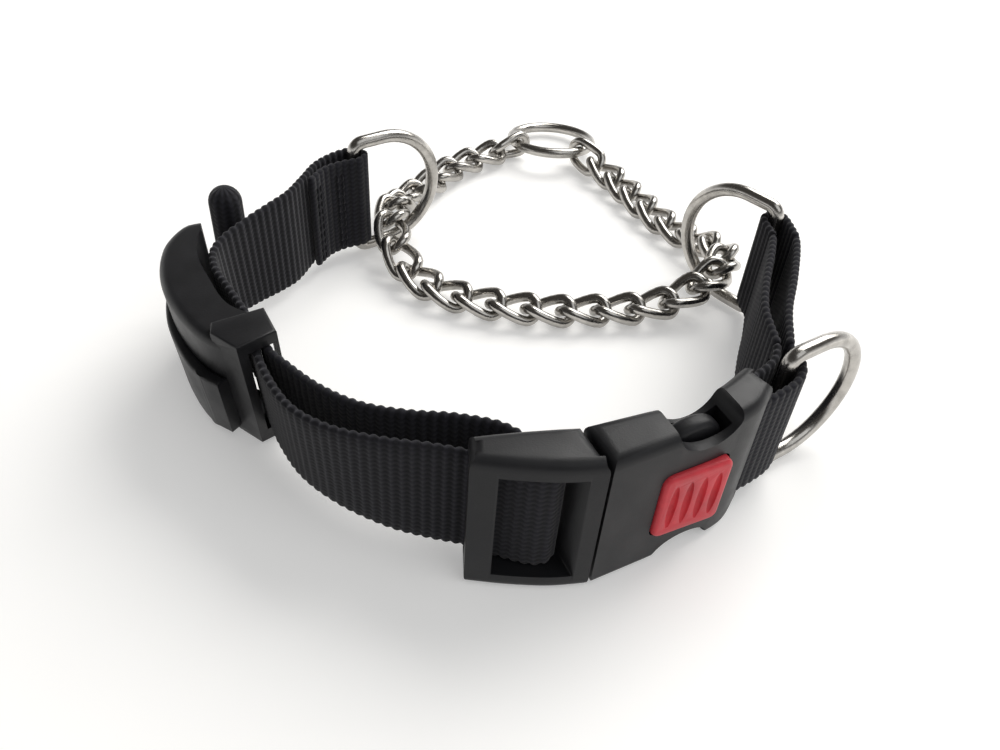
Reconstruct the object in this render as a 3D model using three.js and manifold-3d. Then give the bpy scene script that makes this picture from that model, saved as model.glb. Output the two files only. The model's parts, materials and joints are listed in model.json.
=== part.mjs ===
// Martingale dog collar: flat webbing with a contoured side-release buckle that has a locking button,
// a length slider, three D-rings and a twisted-link chain that ends on a round leash ring.
// Millimetres. The collar stands on its lower edge on the plane z = 0, +Y away from the buckle.
import * as THREE from "three";
import { mergeVertices } from "three/addons/utils/BufferGeometryUtils.js";
import Module from "manifold-3d";

const wasm = await Module();
wasm.setup();

// ---- Driving dimensions ----
const GAP = 0.3; // clearance between touching pieces
const WEB_WIDTH = 25; // flat webbing, a standard width
const WEB_THICK = 1.7;
const WEB_LOW = 4.2; // lower edge of the webbing above the ground
const WEB_HIGH = WEB_LOW + WEB_WIDTH;
const BUCKLE_HIGH = 33;
const RAIL_LOW = WEB_LOW - GAP; // top of the buckle's lower rail
const RAIL_HIGH = WEB_HIGH + GAP; // underside of the buckle's upper rail
const BAR_RADIUS = 1.6; // round bars that the webbing turns round
const MID_HIGH = WEB_LOW + WEB_WIDTH / 2;

// Colours, roughness and metalness
const WEBBING = { color: 0x26262a, roughness: 0.9, metalness: 0 };
const PLASTIC = { color: 0x2a2a2c, roughness: 0.42, metalness: 0 };
const BUTTON = { color: 0xd8404a, roughness: 0.4, metalness: 0 };
const STEEL = { color: 0xc8c6c2, roughness: 0.22, metalness: 1 };

const collar = new THREE.Group();
const centred = new THREE.Group();
collar.add(centred);

function addPiece(name, geometry, look, parent = centred) {
  const mesh = new THREE.Mesh(geometry, new THREE.MeshStandardMaterial(look));
  mesh.name = name;
  parent.add(mesh);
  return mesh;
}

// ---- Solids: three.js geometry to manifold-3d and back ----
function solidFrom(geometry) {
  const bare = geometry.clone();
  bare.deleteAttribute("normal");
  bare.deleteAttribute("uv");
  const merged = mergeVertices(bare, 1e-4);
  return new wasm.Manifold(
    new wasm.Mesh({
      numProp: 3,
      vertProperties: merged.attributes.position.array,
      triVerts: new Uint32Array(merged.index.array),
    }),
  );
}

function geometryFrom(solid) {
  const mesh = solid.getMesh();
  const geometry = new THREE.BufferGeometry();
  geometry.setAttribute("position", new THREE.BufferAttribute(new Float32Array(mesh.vertProperties), 3));
  geometry.setIndex(new THREE.BufferAttribute(new Uint32Array(mesh.triVerts), 1));
  return geometry;
}

// ---- Outlines and prisms, drawn in plan and raised along Z ----
function smoothOutline(corners, samples) {
  const curve = new THREE.CatmullRomCurve3(corners.map(([x, y]) => new THREE.Vector3(x, y, 0)));
  return curve.getSpacedPoints(samples).map((p) => [p.x, p.y]);
}

function prism(outline, low, high, bevel = 0) {
  const shape = new THREE.Shape(outline.map(([x, y]) => new THREE.Vector2(x, y)));
  const geometry = new THREE.ExtrudeGeometry(shape, {
    depth: high - low - 2 * bevel,
    bevelEnabled: bevel > 0,
    bevelThickness: bevel,
    bevelSize: bevel,
    bevelOffset: -bevel,
    bevelSegments: 2,
  });
  return geometry.translate(0, 0, low + bevel);
}

function box(sMin, sMax, wMin, wMax, low, high) {
  const geometry = new THREE.BoxGeometry(sMax - sMin, wMax - wMin, high - low);
  return geometry.translate((sMin + sMax) / 2, (wMin + wMax) / 2, (low + high) / 2);
}

function roundBar(x, y, low, high, radius = BAR_RADIUS) {
  const geometry = new THREE.CylinderGeometry(radius, radius, high - low, 14);
  return geometry.rotateX(Math.PI / 2).translate(x, y, (low + high) / 2);
}

// A ribbon of webbing standing on edge, following a route in plan.
function webbing(route, samples, thick = WEB_THICK, low = WEB_LOW, high = WEB_HIGH) {
  const curve = new THREE.CatmullRomCurve3(route.map(([x, y]) => new THREE.Vector3(x, y, 0)));
  const left = [];
  const right = [];
  for (let i = 0; i <= samples; i += 1) {
    const at = curve.getPointAt(i / samples);
    const along = curve.getTangentAt(i / samples);
    left.push([at.x - (along.y * thick) / 2, at.y + (along.x * thick) / 2]);
    right.push([at.x + (along.y * thick) / 2, at.y - (along.x * thick) / 2]);
  }
  return prism([...right, ...left.reverse()], low, high);
}

// The part of a fold that turns round a bar: a half circle about (x, y) whose mouth faces `heading`.
function turnRound(x, y, heading, radius, steps = 4) {
  const points = [];
  for (let i = 0; i <= steps; i += 1) {
    const angle = heading + Math.PI / 2 + (Math.PI * i) / steps;
    points.push([x + radius * Math.cos(angle), y + radius * Math.sin(angle)]);
  }
  return points;
}

// ---- Rings ----
const WIRE_RADIUS = 1.6; // D-ring wire
const D_HALF = 14.6; // half of the D-ring's height, to the middle of its wire
const D_ARM = 8; // straight part of each arm before the bow
const D_SEAM = 0.4; // the wire's ends meet in the straight bar
const FOLD_RADIUS = WIRE_RADIUS + GAP + WEB_THICK / 2; // webbing's middle line round a D-ring bar

const leftRing = { x: -40, y: 192, heading: THREE.MathUtils.degToRad(38) };
const rightRing = { x: 61, y: 177.5, heading: THREE.MathUtils.degToRad(136) };
const idRing = { x: 53.5, y: 124.5, heading: THREE.MathUtils.degToRad(36) };

class DRingPath extends THREE.Curve {
  getPoint(t, target = new THREE.Vector3()) {
    const bar = D_HALF - D_SEAM / 2;
    const bow = Math.PI * D_HALF;
    const total = 2 * bar + 2 * D_ARM + bow;
    const run = t * total;
    const afterArm = bar + D_ARM;
    if (run < bar) return target.set(0, 0, -D_SEAM / 2 - run);
    if (run < afterArm) return target.set(run - bar, 0, -D_HALF);
    if (run < afterArm + bow) {
      const angle = -Math.PI / 2 + (run - afterArm) / D_HALF;
      return target.set(D_ARM + D_HALF * Math.cos(angle), 0, D_HALF * Math.sin(angle));
    }
    const back = run - afterArm - bow;
    if (back < D_ARM) return target.set(D_ARM - back, 0, D_HALF);
    return target.set(0, 0, D_HALF - (back - D_ARM));
  }
}

function addDRing(name, place) {
  const section = new THREE.Shape();
  section.absarc(0, 0, WIRE_RADIUS, 0, Math.PI * 2, true);
  const geometry = new THREE.ExtrudeGeometry(section, {
    steps: 44,
    curveSegments: 4,
    bevelEnabled: false,
    extrudePath: new DRingPath(),
  });
  const ring = addPiece(name, geometry, STEEL);
  ring.position.set(place.x, place.y, MID_HIGH);
  ring.rotation.z = place.heading;
}

addDRing("left_d_ring", leftRing);
addDRing("right_d_ring", rightRing);
addDRing("id_d_ring", idRing);

const LEASH = { x: 10.2, y: 255.5, z: 4.6, radius: 12.4, wire: 1.5, tilt: 0.15 };
const leashRing = addPiece("leash_ring", new THREE.TorusGeometry(LEASH.radius, LEASH.wire, 8, 40), STEEL);
leashRing.position.set(LEASH.x, LEASH.y, LEASH.z);
leashRing.rotation.x = -LEASH.tilt;

// ---- Chain: twisted links laid from one side of the leash ring, through both D-rings, to the other ----
const LINK_WIRE = 1.25;
const LINK_RING = 3.55; // middle-line radius of a link's round ends
const LINK_PITCH = 8.7;
const LINK_SLACK = 0.7; // free play where two links meet
const LINK_TWIST = Math.PI / 4; // each end is turned this much out of the link's middle plane
const CHAIN_LOW = 3.6; // middle of the chain where it lies on the ground
const CHAIN_OVER = 9; // middle of the chain where it runs over a D-ring's lower arm
const LEASH_HOLD = { left: Math.PI + 0.5, right: -0.75 }; // where the end links hold the leash ring, round its middle
function leashHold(angle) {
  const inside = LEASH.radius - LEASH.wire - LINK_SLACK / 3;
  const away = inside * Math.sin(angle);
  return [LEASH.x + inside * Math.cos(angle), LEASH.y + away * Math.cos(LEASH.tilt), LEASH.z - away * Math.sin(LEASH.tilt)];
}
const CHAIN_ROUTE = [
  leashHold(LEASH_HOLD.left),
  [-9, 244.5, CHAIN_LOW],
  [-18, 236, CHAIN_LOW],
  [-25, 224, CHAIN_LOW],
  [-30.3, 212, 5],
  [-32.3, 201, CHAIN_OVER],
  [-30.8, 190, CHAIN_OVER - 1],
  [-26.5, 181.5, 4.6],
  [-18, 173.8, CHAIN_LOW],
  [-7, 170, CHAIN_LOW],
  [10, 168.6, CHAIN_LOW],
  [28, 171.4, CHAIN_LOW],
  [38, 173.2, 4.6],
  [46, 176.8, CHAIN_OVER - 1.6],
  [52.6, 183, CHAIN_OVER],
  [55.8, 190.8, CHAIN_OVER - 0.6],
  [53.4, 200, 6],
  [46, 208.5, CHAIN_LOW],
  [37.5, 221, CHAIN_LOW],
  [29, 236, CHAIN_LOW],
  leashHold(LEASH_HOLD.right),
];

// A round torus pulled out into an oval link along X, then twisted about X from one end to the other.
function linkGeometry(pitch, startRoll, endRoll) {
  const geometry = new THREE.TorusGeometry(LINK_RING, LINK_WIRE, 6, 18);
  const stretch = (pitch + LINK_SLACK) / 2 + LINK_WIRE - LINK_RING;
  const half = stretch + LINK_RING;
  const position = geometry.attributes.position;
  for (let i = 0; i < position.count; i += 1) {
    const x = position.getX(i) + stretch * THREE.MathUtils.clamp(position.getX(i), -1, 1);
    const roll = THREE.MathUtils.lerp(startRoll, endRoll, THREE.MathUtils.clamp((x / half + 1) / 2, 0, 1));
    const y = position.getY(i);
    const z = position.getZ(i);
    position.setXYZ(i, x, y * Math.cos(roll) - z * Math.sin(roll), y * Math.sin(roll) + z * Math.cos(roll));
  }
  return geometry;
}

// Points on a route, each one straight-line pitch from the last, with the longest pitch that fits `count` times.
function pivotsAlong(curve, count) {
  const fine = curve.getSpacedPoints(4000);
  let best = [];
  let tooShort = (0.8 * curve.getLength()) / count;
  let tooLong = curve.getLength() / count;
  for (let pass = 0; pass < 24; pass += 1) {
    const pitch = (tooShort + tooLong) / 2;
    const pivots = [fine[0]];
    for (const point of fine) {
      if (pivots.length <= count && point.distanceTo(pivots[pivots.length - 1]) >= pitch) pivots.push(point);
    }
    if (pivots.length > count) {
      best = pivots;
      tooShort = pitch;
    } else {
      tooLong = pitch;
    }
  }
  return best;
}

const chainCurve = new THREE.CatmullRomCurve3(CHAIN_ROUTE.map((p) => new THREE.Vector3(...p)));
const linkCount = Math.round(chainCurve.getLength() / LINK_PITCH);
const chainPivots = pivotsAlong(chainCurve, linkCount);
for (let i = 0; i < linkCount; i += 1) {
  const start = chainPivots[i];
  const end = chainPivots[i + 1];
  const along = end.clone().sub(start);
  const first = i === 0 ? Math.PI / 2 : -LINK_TWIST;
  const last = i === linkCount - 1 ? -Math.PI / 2 : LINK_TWIST;
  const link = addPiece(
    `chain_link_${String(i + 1).padStart(2, "0")}`,
    linkGeometry(along.length(), first, last),
    STEEL,
  );
  link.position.copy(start).add(end).multiplyScalar(0.5);
  link.rotation.set(0, -Math.asin(along.z / along.length()), Math.atan2(along.y, along.x), "ZYX");
}

// ---- Buckle: drawn along its own line, s from the parting plane towards the socket, w towards the neck ----
const BUCKLE = { x: 19, y: 92.6, heading: THREE.MathUtils.degToRad(28) };
const buckle = new THREE.Group();
buckle.position.set(BUCKLE.x, BUCKLE.y, 0);
buckle.rotation.z = BUCKLE.heading;
centred.add(buckle);
const EDGE = 1.2; // rounded long edges

const PLUG_BAR = { s: -7.2, w: 8.2 };
const plugOutline = [
  ...smoothOutline([[-20.7, 9.2], [-14, 5.4], [-7, 2.1], [-GAP, 0]], 8),
  [-GAP, 10],
  ...smoothOutline([[-4, 11.2], [-11, 13.2], [-18.4, 15]], 6),
];
const plugPocket = [
  [-16.6, 5.5], [-3.2, -1], [-3.2, 13.5], [-11, 16.5], [-20.6, 18], [-20.6, 12.6], [-16.6, 10.8],
];
const plugSolid = solidFrom(prism(plugOutline, 0, BUCKLE_HIGH, EDGE))
  .subtract(solidFrom(prism(plugPocket, RAIL_LOW, RAIL_HIGH)))
  .add(solidFrom(roundBar(PLUG_BAR.s, PLUG_BAR.w, RAIL_LOW - 1, RAIL_HIGH + 1)));
addPiece("plug_body", geometryFrom(plugSolid), PLASTIC, buckle);

// Two spring prongs and a flat guide tongue between them, all inside the socket.
const PRONG_W = [3.7, 7.1];
const prongOutline = [
  [GAP, 21.5], [GAP, 26.5], [12, 26.6], [15, 28.6], [21.6, 28.2], [25.2, 25.4], [25.2, 23], [13, 22.4],
];
function prong(mirrored) {
  const outline = prongOutline.map(([s, z]) => [s, mirrored ? BUCKLE_HIGH - z : z]);
  if (mirrored) outline.reverse();
  const geometry = prism(outline, PRONG_W[0], PRONG_W[1]);
  return geometry.rotateX(Math.PI / 2).translate(0, PRONG_W[0] + PRONG_W[1], 0);
}
addPiece("plug_prong_upper", prong(false), PLASTIC, buckle);
addPiece("plug_prong_lower", prong(true), PLASTIC, buckle);
addPiece("plug_guide", box(GAP, 17, 4.1, 6.4, 14.2, 18.8), PLASTIC, buckle);

const socketOutline = [
  [GAP, 0],
  ...smoothOutline([[12, 0.5], [24, 1.2], [31, 2.6], [36.4, 6]], 8),
  ...smoothOutline([[34.9, 12.6], [26.6, 9.7], [20, 8.8], [10, 9.4]], 8),
  [GAP, 10],
];
const CAVITY = { end: 26.5, wMin: 2.9, wMax: 7.8, low: 3, high: 30 };
const BUTTON_HOLE = { sMin: 11.4, sMax: 26.2, low: 8, high: 24.4 };
const sideCutRound = 12;
const sideCutDeep = 5;
// The shell is waisted on its upper and lower edges, where the prong tips are squeezed.
function waist(upper) {
  const middle = 20.2;
  const half = 6.8;
  const edge = upper ? BUCKLE_HIGH : 0;
  const inward = upper ? -1 : 1;
  const points = [[middle - half, edge - inward * 2]];
  for (let i = 0; i <= sideCutRound; i += 1) {
    const angle = Math.PI * (1 - i / sideCutRound);
    points.push([middle + half * Math.cos(angle), edge + inward * sideCutDeep * Math.sin(angle)]);
  }
  points.push([middle + half, edge - inward * 2]);
  const outline = upper ? points.reverse() : points;
  return prism(outline.map(([s, z]) => [s, z]), -2, 12).rotateX(Math.PI / 2).translate(0, 10, 0);
}
const SOCKET_BAR = { s: 33.1, w: 8.9 };
const socketSlot = [
  [29.6, 5.2], [38.5, 5.2], [38.5, 14.5], [33, 14.5], [27.8, 12.6],
];
const socketSolid = solidFrom(prism(socketOutline, 0, BUCKLE_HIGH, EDGE))
  .subtract(solidFrom(box(-1, CAVITY.end, CAVITY.wMin, CAVITY.wMax, CAVITY.low, CAVITY.high)))
  .subtract(solidFrom(box(BUTTON_HOLE.sMin, BUTTON_HOLE.sMax, -2, 4, BUTTON_HOLE.low, BUTTON_HOLE.high)))
  .subtract(solidFrom(waist(true)))
  .subtract(solidFrom(waist(false)))
  .subtract(solidFrom(prism(socketSlot, RAIL_LOW, RAIL_HIGH)))
  .add(solidFrom(roundBar(SOCKET_BAR.s, SOCKET_BAR.w, RAIL_LOW - 1, RAIL_HIGH + 1)));
addPiece("socket_body", geometryFrom(socketSolid), PLASTIC, buckle);

const BUTTON_PROUD = 1;
const BUTTON_DEEP = 2.5;
const buttonMid = { s: (BUTTON_HOLE.sMin + BUTTON_HOLE.sMax) / 2, z: (BUTTON_HOLE.low + BUTTON_HOLE.high) / 2 };
const buttonPlate = box(
  BUTTON_HOLE.sMin + GAP, BUTTON_HOLE.sMax - GAP, 0.6 - BUTTON_PROUD, BUTTON_DEEP,
  BUTTON_HOLE.low + GAP, BUTTON_HOLE.high - GAP,
);
addPiece("lock_button", buttonPlate, BUTTON, buckle);

// ---- The collar leans where the slider hangs: its upper edge tips towards the buckle ----
const LEAN = { x: 0.042, y: -0.245 }; // sideways travel for each millimetre of height
const LEAN_FROM_Y = [172, 150]; // the lean grows along the left side between these
const LEAN_FROM_X = [-8, -40]; // and along the front between these
function leant(geometry) {
  const position = geometry.attributes.position;
  for (let i = 0; i < position.count; i += 1) {
    const x = position.getX(i);
    const y = position.getY(i);
    const share = (1 - THREE.MathUtils.smoothstep(y, LEAN_FROM_Y[1], LEAN_FROM_Y[0]))
      * (1 - THREE.MathUtils.smoothstep(x, LEAN_FROM_X[1], LEAN_FROM_X[0]));
    const rise = (position.getZ(i) - MID_HIGH) * share;
    position.setXY(i, x + rise * LEAN.x, y + rise * LEAN.y);
  }
  return geometry;
}

// ---- Slider: an arched shell outside the webbing, a flange along its foot and a slotted block at its front ----
const sliderOutline = [
  ...smoothOutline([[-66, 157.6], [-69.4, 156.9], [-70.9, 149.5], [-68.6, 139], [-62.6, 129], [-54.4, 121],
    [-48.4, 118.6]], 16),
  ...smoothOutline([[-46, 127.9], [-52.6, 130.9], [-58.4, 138.4], [-63.1, 146], [-64.8, 151.4], [-65.2, 156.6]], 12),
];
const flangeRoute = [[-67.6, 153.4], [-69.9, 146], [-67.6, 137], [-62.6, 128.2], [-56.4, 120.9], [-52, 118.4]];
const FLANGE = { thick: 2.6, low: 2.6, high: 20 };
const blockOutline = [[-53.4, 123.6], [-52.6, 120.6], [-46.9, 117.1], [-41.2, 122.8], [-45.2, 129.3]];
const SHELL_HIGH = 31;
const SLIDER_HIGH = 32.6;
const SLOT_WIDE = 5.4;
const slotRoute = [[-54, 138.6], [-50.3, 132.6], [-47.4, 127.8], [-45, 123.4], [-43.8, 120.8], [-40.4, 114]];
const sliderSolid = solidFrom(prism(sliderOutline, 0, SHELL_HIGH, EDGE))
  .add(solidFrom(webbing(flangeRoute, 14, FLANGE.thick, FLANGE.low, FLANGE.high)))
  .add(solidFrom(prism(blockOutline, 0, SLIDER_HIGH, EDGE / 2)))
  .subtract(solidFrom(webbing(slotRoute, 12, SLOT_WIDE, RAIL_LOW, RAIL_HIGH)));
addPiece("length_slider", leant(geometryFrom(sliderSolid)), PLASTIC);

// ---- Webbing ----
const turn = FOLD_RADIUS;
function inPlan({ s, w }) {
  const cos = Math.cos(BUCKLE.heading);
  const sin = Math.sin(BUCKLE.heading);
  return [BUCKLE.x + s * cos - w * sin, BUCKLE.y + s * sin + w * cos];
}
const plugBar = inPlan(PLUG_BAR);
const socketBar = inPlan(SOCKET_BAR);

// Sewn tail on the neck side, fold round the left D-ring's bar, then the long layer into the slider.
addPiece("left_strap", leant(webbing([
  [-47.8, 178.3], [-45.7, 183.8], [-42.4, 187.3],
  ...turnRound(leftRing.x, leftRing.y, leftRing.heading + Math.PI, turn),
  [-44.8, 191.4], [-48, 186.2], [-49.8, 178.5], [-51.6, 171.6], [-54.6, 166.2], [-58.4, 160],
  [-61.1, 154.3], [-61.5, 149.8], [-59.6, 144.6], [-55.4, 138.8], [-50.8, 132.6], [-48.2, 128.8],
], 64)), WEBBING);

// Outer layer out of the slider, turn round the plug's bar, inner layer back to the slider.
addPiece("front_strap", leant(webbing([
  [-46.9, 123.9], [-45.1, 120.6], [-41.2, 113.8], [-35.4, 106.6], [-28, 101.9], [-18.4, 98.8], [-10, 97.6],
  [-3, 96.6], [2.8, 94.8],
  ...turnRound(plugBar[0], plugBar[1], Math.PI * 0.97, turn),
  [5.4, 101.3], [0.8, 103.8], [-6, 104.9], [-14.9, 105.2], [-23.4, 107.2], [-31.4, 111.6],
  [-38.4, 117.2], [-43, 121.4], [-45.6, 126.4],
], 72)), WEBBING);

// Loop through the socket's end and round the identity ring's bar.
addPiece("socket_loop", webbing([
  [52.9, 131.4], [51.9, 127.6], [50.4, 125.3], [46.6, 121.4],
  ...turnRound(socketBar[0], socketBar[1], THREE.MathUtils.degToRad(42), turn),
  [50.2, 116.9], [55.1, 121.6], [56.7, 125.8], [55.6, 131.4],
], 40), WEBBING);
addPiece("right_strap_inner", webbing([
  [53, 132], [52.6, 143], [54.6, 153], [57.4, 163], [59.1, 170.4],
], 20), WEBBING);
addPiece("right_strap_outer", webbing([
  [55.6, 132], [57.4, 143], [60.6, 154], [63.4, 165], [64.4, 170.4],
], 20), WEBBING);
addPiece("right_ring_fold", webbing([
  [64.5, 171], ...turnRound(rightRing.x, rightRing.y, THREE.MathUtils.degToRad(262), turn), [59.2, 171],
], 20), WEBBING);

// The webbing's end, rolled and sewn where it leaves the slider's rear end.
const ROLL = { x: -62.9, y: 163.4, radius: 3.3, low: 4.4, high: 34 };
function rollProfile() {
  const points = [new THREE.Vector2(0, ROLL.low), new THREE.Vector2(ROLL.radius, ROLL.low)];
  const domeSteps = 5;
  for (let i = 0; i <= domeSteps; i += 1) {
    const angle = (Math.PI / 2) * (i / domeSteps);
    const last = i === domeSteps;
    points.push(new THREE.Vector2(
      last ? 0 : ROLL.radius * Math.cos(angle),
      ROLL.high - ROLL.radius + ROLL.radius * Math.sin(angle),
    ));
  }
  return points;
}
const roll = addPiece("strap_end_roll", new THREE.LatheGeometry(rollProfile(), 16).rotateX(Math.PI / 2), WEBBING);
roll.position.set(ROLL.x, ROLL.y, 0);

// The frame's origin is the middle of the collar's footprint, on the ground.
collar.updateMatrixWorld(true);
const bounds = new THREE.Box3().setFromObject(centred, true);
const middle = bounds.getCenter(new THREE.Vector3());
centred.position.set(-middle.x, -middle.y, -bounds.min.z);

export default collar;
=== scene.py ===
"""Martingale dog collar: webbing, buckle, slider, rings and chain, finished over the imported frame."""

import json
from math import cos, pi, radians, sin, tau

import bmesh
import bpy
import numpy as np
from mathutils import Matrix, Vector


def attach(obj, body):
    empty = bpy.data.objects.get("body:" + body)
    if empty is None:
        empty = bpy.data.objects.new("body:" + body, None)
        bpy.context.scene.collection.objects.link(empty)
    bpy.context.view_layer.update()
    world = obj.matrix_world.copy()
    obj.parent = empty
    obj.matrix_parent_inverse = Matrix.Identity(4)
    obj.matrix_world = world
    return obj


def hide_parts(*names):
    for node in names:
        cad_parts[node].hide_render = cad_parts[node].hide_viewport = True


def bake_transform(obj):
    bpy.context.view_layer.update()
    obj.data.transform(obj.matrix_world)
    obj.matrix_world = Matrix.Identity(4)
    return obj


bl_info = {
    "name": "Martingale Collar",
    "version": (1, 0, 0),
    "blender": (4, 5, 0),
    "location": "View3D > Sidebar > Collar",
    "description": "Builds the finished surfaces of a martingale dog collar over its frame",
    "category": "Object",
}

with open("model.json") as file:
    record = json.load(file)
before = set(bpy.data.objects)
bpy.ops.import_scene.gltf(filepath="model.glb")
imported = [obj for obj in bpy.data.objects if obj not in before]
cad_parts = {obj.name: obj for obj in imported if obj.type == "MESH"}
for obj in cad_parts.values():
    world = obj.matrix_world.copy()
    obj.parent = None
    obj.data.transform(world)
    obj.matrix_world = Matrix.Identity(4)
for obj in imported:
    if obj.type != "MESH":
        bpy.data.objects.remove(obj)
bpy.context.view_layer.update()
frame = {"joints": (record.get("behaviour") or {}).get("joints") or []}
JOINTS = {joint["name"]: joint for joint in frame["joints"]}

# ---- The collar's own plan, in millimetres, and where it lies in the frame ----
MM = 0.001
UP = Vector((0, 0, 1))
LEFT_BAR = (-40, 192)  # bars of the three D-rings, in plan
RIGHT_BAR = (61, 177.5)
IDENTITY_BAR = (53.5, 124.5)
MID_HIGH = 16.7  # half the webbing's height above the ground
ORIGIN = Vector(JOINTS["left_ring_swing"]["pos_m"]) - Vector((*LEFT_BAR, MID_HIGH)) * MM

BUCKLE_CORNER = (19, 92.6)  # outer edge of the buckle's parting plane
ALONG = Vector(JOINTS["buckle_release"]["axis"]).normalized()
INWARD = Vector(JOINTS["button_press"]["axis"]).normalized()
BUCKLE_HIGH = 33
PLAN = Matrix.Translation(ORIGIN) @ Matrix.Scale(MM, 4)
TURN = Matrix((ALONG, INWARD, UP)).transposed().to_4x4()
BUCKLE = PLAN @ Matrix.Translation((*BUCKLE_CORNER, 0)) @ TURN
GAP = 0.3
WEB_LOW, WEB_HIGH = 4.2, 29.2
RAIL_LOW, RAIL_HIGH = WEB_LOW - GAP, WEB_HIGH + GAP

LEAN = (0.042, -0.245)
LEAN_FROM_Y = (172, 150)
LEAN_FROM_X = (-8, -40)


def plan(x, y, z):
    """A place in the frame from the collar's plan, in millimetres."""
    return PLAN @ Vector((x, y, z))


def buckle_plan(s, w):
    """A plan place from the buckle's own lines: s along it and w towards the neck."""
    return (BUCKLE_CORNER[0] + s * ALONG.x + w * INWARD.x, BUCKLE_CORNER[1] + s * ALONG.y + w * INWARD.y)


def ease(value, start, end):
    """0 before start, 1 after end, smooth between them."""
    t = min(max((value - start) / (end - start), 0), 1)
    return t * t * (3 - 2 * t)


def lean(bm):
    """Tips the solid with the collar beside the slider, where its upper edge leans to the buckle."""
    for vert in bm.verts:
        x, y, z = vert.co
        share = (1 - ease(y, LEAN_FROM_Y[1], LEAN_FROM_Y[0])) * (1 - ease(x, LEAN_FROM_X[1], LEAN_FROM_X[0]))
        rise = (z - MID_HIGH) * share
        vert.co.x += rise * LEAN[0]
        vert.co.y += rise * LEAN[1]
    return bm


# ---- Curves ----
def smooth_route(points, spacing):
    """Even points, `spacing` apart, on a smooth centripetal curve through the given plan points."""
    pts = [np.array(p, float) for p in points]
    pts = [2 * pts[0] - pts[1], *pts, 2 * pts[-1] - pts[-2]]
    dense = []
    for a, b, c, d in zip(pts, pts[1:], pts[2:], pts[3:]):
        ta, tb, tc = (max(np.linalg.norm(q - p), 1e-6) ** 0.5 for p, q in ((a, b), (b, c), (c, d)))
        start = ((b - a) / ta - (c - a) / (ta + tb) + (c - b) / tb) * tb
        end = ((c - b) / tb - (d - b) / (tb + tc) + (d - c) / tc) * tb
        for t in np.linspace(0, 1, 24, endpoint=False):
            dense.append(
                (2 * t**3 - 3 * t**2 + 1) * b + (t**3 - 2 * t**2 + t) * start
                + (3 * t**2 - 2 * t**3) * c + (t**3 - t**2) * end
            )
    dense.append(pts[-2])
    dense = np.array(dense)
    run = np.concatenate([[0], np.cumsum(np.linalg.norm(np.diff(dense, axis=0), axis=1))])
    count = max(int(run[-1] / spacing), 2)
    even = np.linspace(0, run[-1], count + 1)
    return np.column_stack([np.interp(even, run, dense[:, i]) for i in range(dense.shape[1])]), run[-1]


def turn_round(bar, mouth, radius, steps=4):
    """Half a circle of plan points round a bar, with its mouth facing the heading `mouth`."""
    angles = [mouth + pi / 2 + pi * i / steps for i in range(steps + 1)]
    return [(bar[0] + radius * cos(a), bar[1] + radius * sin(a)) for a in angles]


# ---- Making objects ----
def add_object(name, bm, material, place, smooth_angle=40):
    """The finished mesh, in millimetres, put in its place in the frame with one material."""
    bmesh.ops.recalc_face_normals(bm, faces=bm.faces)
    bmesh.ops.transform(bm, matrix=place, verts=bm.verts)
    mesh = bpy.data.meshes.new(name)
    bm.to_mesh(mesh)
    bm.free()
    obj = bpy.data.objects.new(name, mesh)
    bpy.context.scene.collection.objects.link(obj)
    mesh.materials.append(material)
    mesh.shade_smooth()
    if smooth_angle < 180:
        mesh.set_sharp_from_angle(angle=radians(smooth_angle))
    return obj


def helper_object(bm):
    """A solid in millimetres for a boolean, which is deleted after its use."""
    bmesh.ops.recalc_face_normals(bm, faces=bm.faces)
    mesh = bpy.data.meshes.new("helper")
    bm.to_mesh(mesh)
    bm.free()
    obj = bpy.data.objects.new("helper", mesh)
    bpy.context.scene.collection.objects.link(obj)
    return obj


def shaped(bm, joined=(), cutters=(), bars=(), softness=0.35, segments=3):
    """The solid with parts joined on, cutters taken away, bars put in and its edges softened."""
    obj = helper_object(bm)
    helpers = [(helper_object(j), "UNION") for j in joined]
    helpers += [(helper_object(c), "DIFFERENCE") for c in cutters]
    helpers += [(helper_object(b), "UNION") for b in bars]
    for helper, operation in helpers:
        modifier = obj.modifiers.new("solid", "BOOLEAN")
        modifier.object = helper
        modifier.operation = operation
        modifier.solver = "EXACT"
    bevel = obj.modifiers.new("edges", "BEVEL")
    bevel.width = softness
    bevel.segments = segments
    bevel.limit_method = "ANGLE"
    bevel.angle_limit = radians(32)
    bevel.use_clamp_overlap = True
    evaluated = obj.evaluated_get(bpy.context.evaluated_depsgraph_get())
    result = bmesh.new()
    result.from_mesh(evaluated.to_mesh())
    evaluated.to_mesh_clear()
    for used in [obj, *(h for h, _ in helpers)]:
        bpy.data.objects.remove(used, do_unlink=True)
    bmesh.ops.remove_doubles(result, verts=result.verts, dist=0.004)
    bmesh.ops.dissolve_degenerate(result, dist=0.002, edges=result.edges)
    return result


def finish_piece(obj, body, slot, *nodes):
    """The piece rides on its body and stands for CAD nodes; the slot argument is not used."""
    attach(obj, body)
    if nodes:
        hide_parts(*nodes)


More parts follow.
